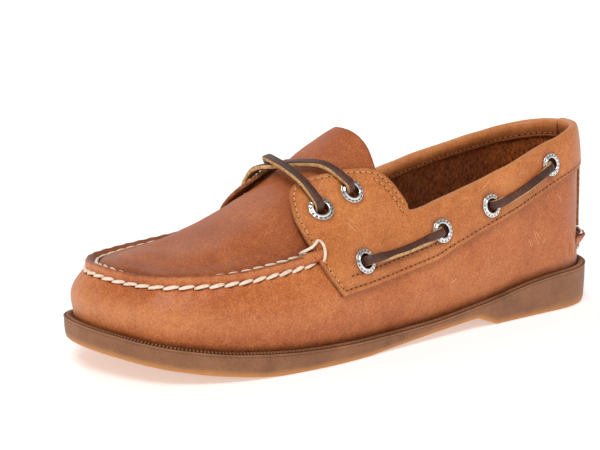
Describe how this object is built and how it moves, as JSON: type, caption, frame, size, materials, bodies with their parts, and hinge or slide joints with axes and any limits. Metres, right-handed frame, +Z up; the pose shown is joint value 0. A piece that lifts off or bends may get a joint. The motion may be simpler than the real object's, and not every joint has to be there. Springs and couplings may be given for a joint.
{
  "type": "boat shoe",
  "caption": "Left leather boat shoe with a hand-sewn moccasin toe, side lacing through eyelets round the collar, and a flat rubber outsole with a low heel.",
  "frame": {"origin": "on the floor under the middle of the shoe's length and width", "axes": "toe to -X, heel to +X, lateral (outer) side to -Y, medial side to +Y, +Z up"},
  "size_m": [0.294, 0.1044, 0.0994],
  "materials": {
    "tan_leather": "oiled full grain, burnished",
    "eyestay_leather": "oiled full grain",
    "insole_leather": "smooth sock lining",
    "suede_lining": "brushed flesh side",
    "rawhide_lace": "waxed, raw cut edges",
    "waxed_thread": "twisted and waxed",
    "gum_rubber": "moulded, matt, slightly translucent",
    "eyelet_metal": "bright nickel"
  },
  "bodies": {
    "root": {"outsole": "gum_rubber", "insole": "insole_leather", "upper": "tan_leather", "tongue": "tan_leather", "collar_band_lateral": "eyestay_leather", "collar_band_medial": "eyestay_leather", "heel_patch": "eyestay_leather", "eyelet_lateral_1": "eyelet_metal", "eyelet_lateral_2": "eyelet_metal", "eyelet_lateral_3": "eyelet_metal", "eyelet_lateral_4": "eyelet_metal", "eyelet_lateral_5": "eyelet_metal", "eyelet_lateral_6": "eyelet_metal", "eyelet_medial_1": "eyelet_metal", "eyelet_medial_2": "eyelet_metal", "eyelet_medial_3": "eyelet_metal", "eyelet_medial_4": "eyelet_metal", "eyelet_medial_5": "eyelet_metal", "eyelet_medial_6": "eyelet_metal", "lace_cross": "rawhide_lace", "lace_bar_lateral_front": "rawhide_lace", "lace_bar_lateral_rear": "rawhide_lace", "lace_bar_medial_front": "rawhide_lace", "lace_bar_medial_rear": "rawhide_lace"}
  },
  "joints": []
}
